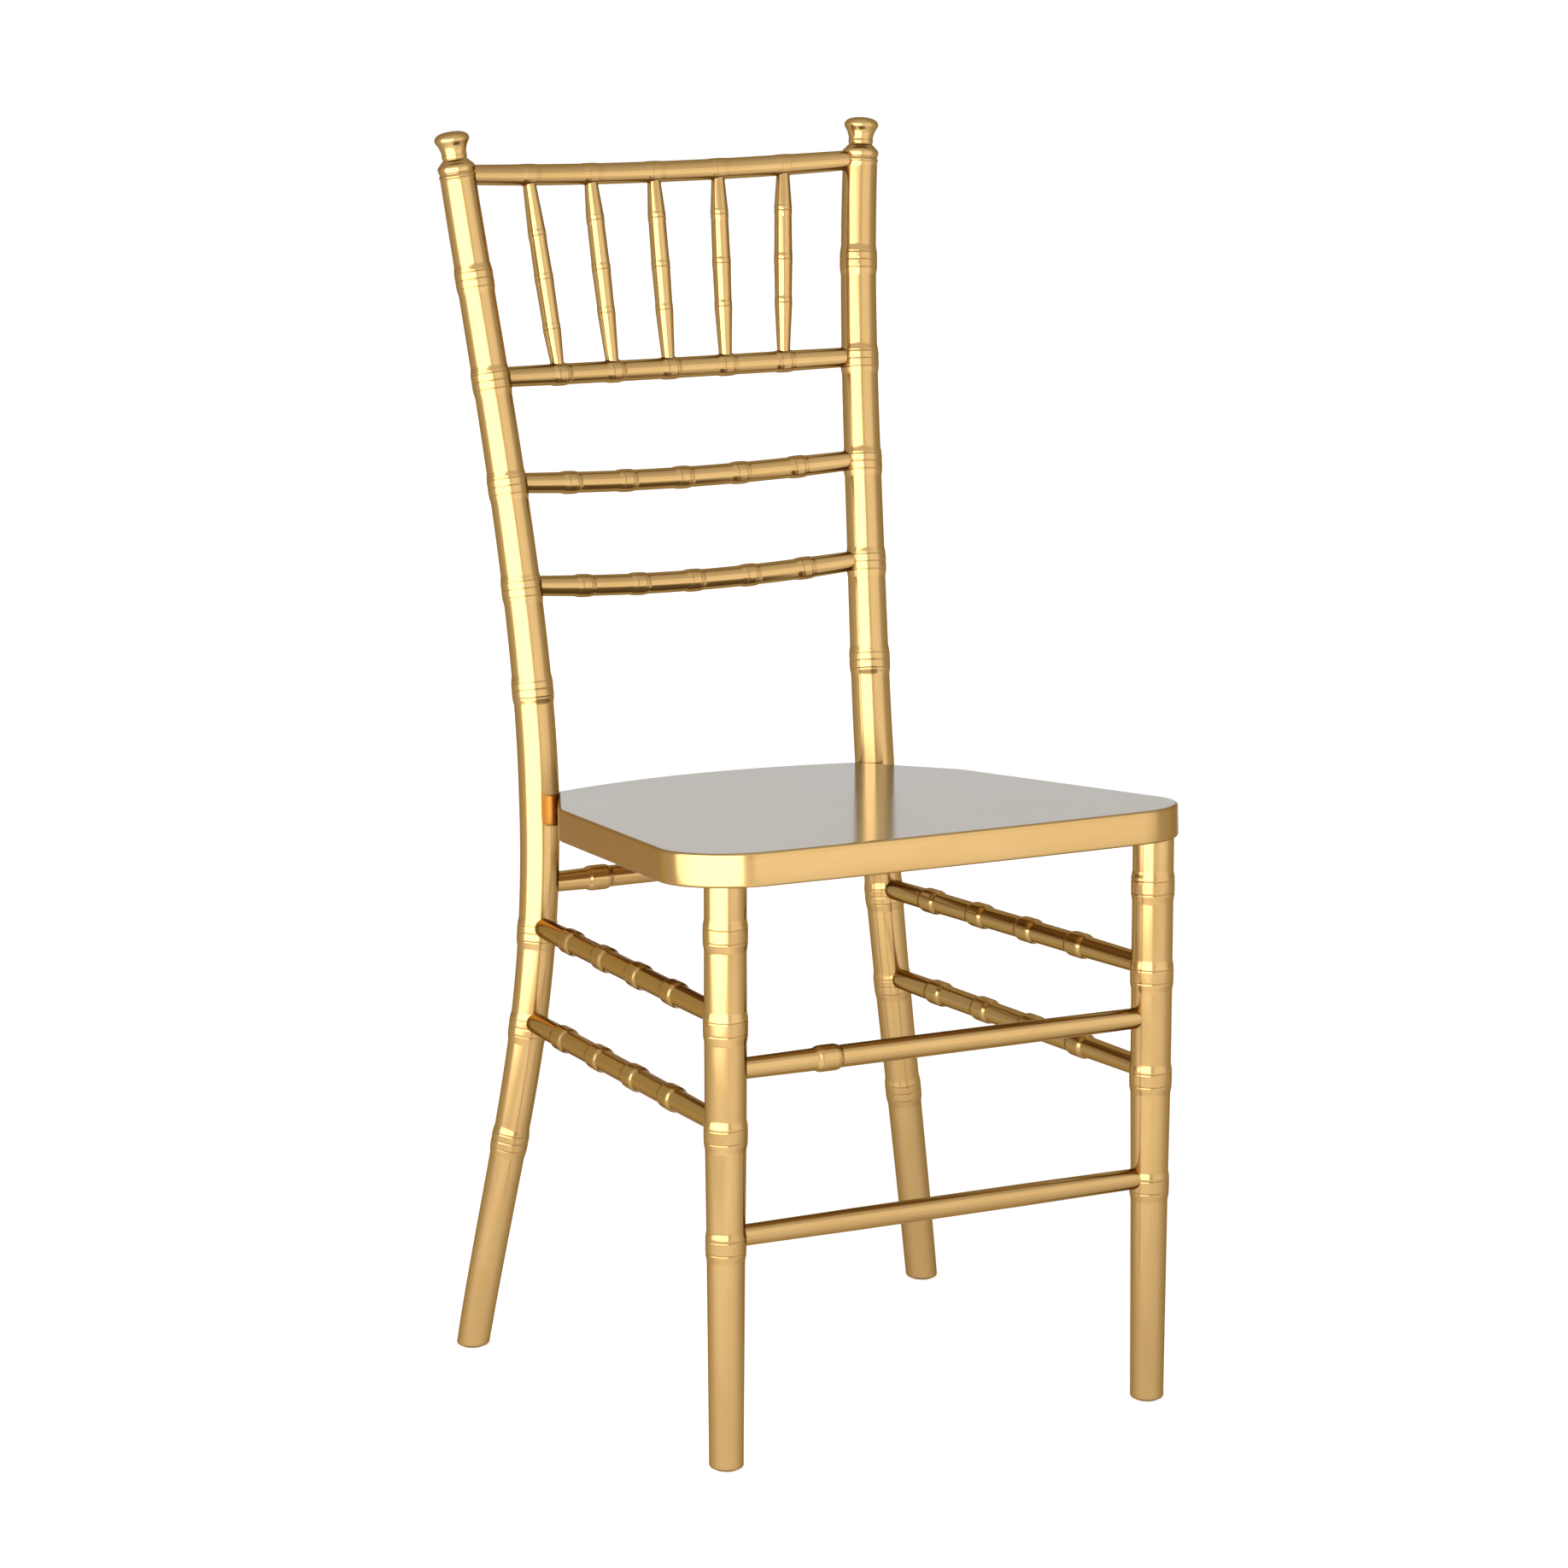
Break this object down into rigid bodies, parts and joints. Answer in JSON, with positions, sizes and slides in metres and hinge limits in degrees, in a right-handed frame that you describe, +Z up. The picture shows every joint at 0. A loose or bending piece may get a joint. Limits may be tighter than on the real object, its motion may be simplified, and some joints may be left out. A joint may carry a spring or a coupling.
{
  "type": "chiavari chair",
  "caption": "Rigid armless dining chair of bamboo-turned wood with a flat tipped seat, bowed ladder back with short spindles under the crest, and turned stretchers.",
  "frame": {"origin": "on the floor under the middle of the chair's bounding box", "axes": "+Z up; the front of the chair faces -Y; +X is on the right of someone who looks at it from the front"},
  "size_m": [0.4194, 0.4747, 0.9147],
  "materials": {
    "gilded_wood": "turned beech under glossy gold lacquer",
    "seat_lacquer": "flat board under smooth grey-beige lacquer, gold at its edge as the rest",
    "block_wood": "bare sawn beech",
    "steel": "zinc-plated",
    "nylon": "moulded tan nylon"
  },
  "bodies": {
    "root": {"rear_post_left": "gilded_wood", "rear_post_right": "gilded_wood", "front_leg_left": "gilded_wood", "front_leg_right": "gilded_wood", "crest_rail": "gilded_wood", "spindle_rail": "gilded_wood", "upper_ladder_rail": "gilded_wood", "lower_ladder_rail": "gilded_wood", "spindle_1": "gilded_wood", "spindle_2": "gilded_wood", "spindle_3": "gilded_wood", "spindle_4": "gilded_wood", "spindle_5": "gilded_wood", "front_stretcher_upper": "gilded_wood", "front_stretcher_lower": "gilded_wood", "left_stretcher_upper": "gilded_wood", "left_stretcher_lower": "gilded_wood", "right_stretcher_upper": "gilded_wood", "right_stretcher_lower": "gilded_wood", "rear_stretcher": "gilded_wood", "seat_frame": "gilded_wood", "seat_top": "seat_lacquer", "corner_block_front_left": "block_wood", "corner_block_rear_left": "block_wood", "corner_block_front_right": "block_wood", "corner_block_rear_right": "block_wood", "post_bolt_left": "steel", "post_bolt_right": "steel", "block_screws": "steel", "glide_front_left": "nylon", "glide_rear_left": "nylon", "glide_front_right": "nylon", "glide_rear_right": "nylon"}
  },
  "joints": []
}
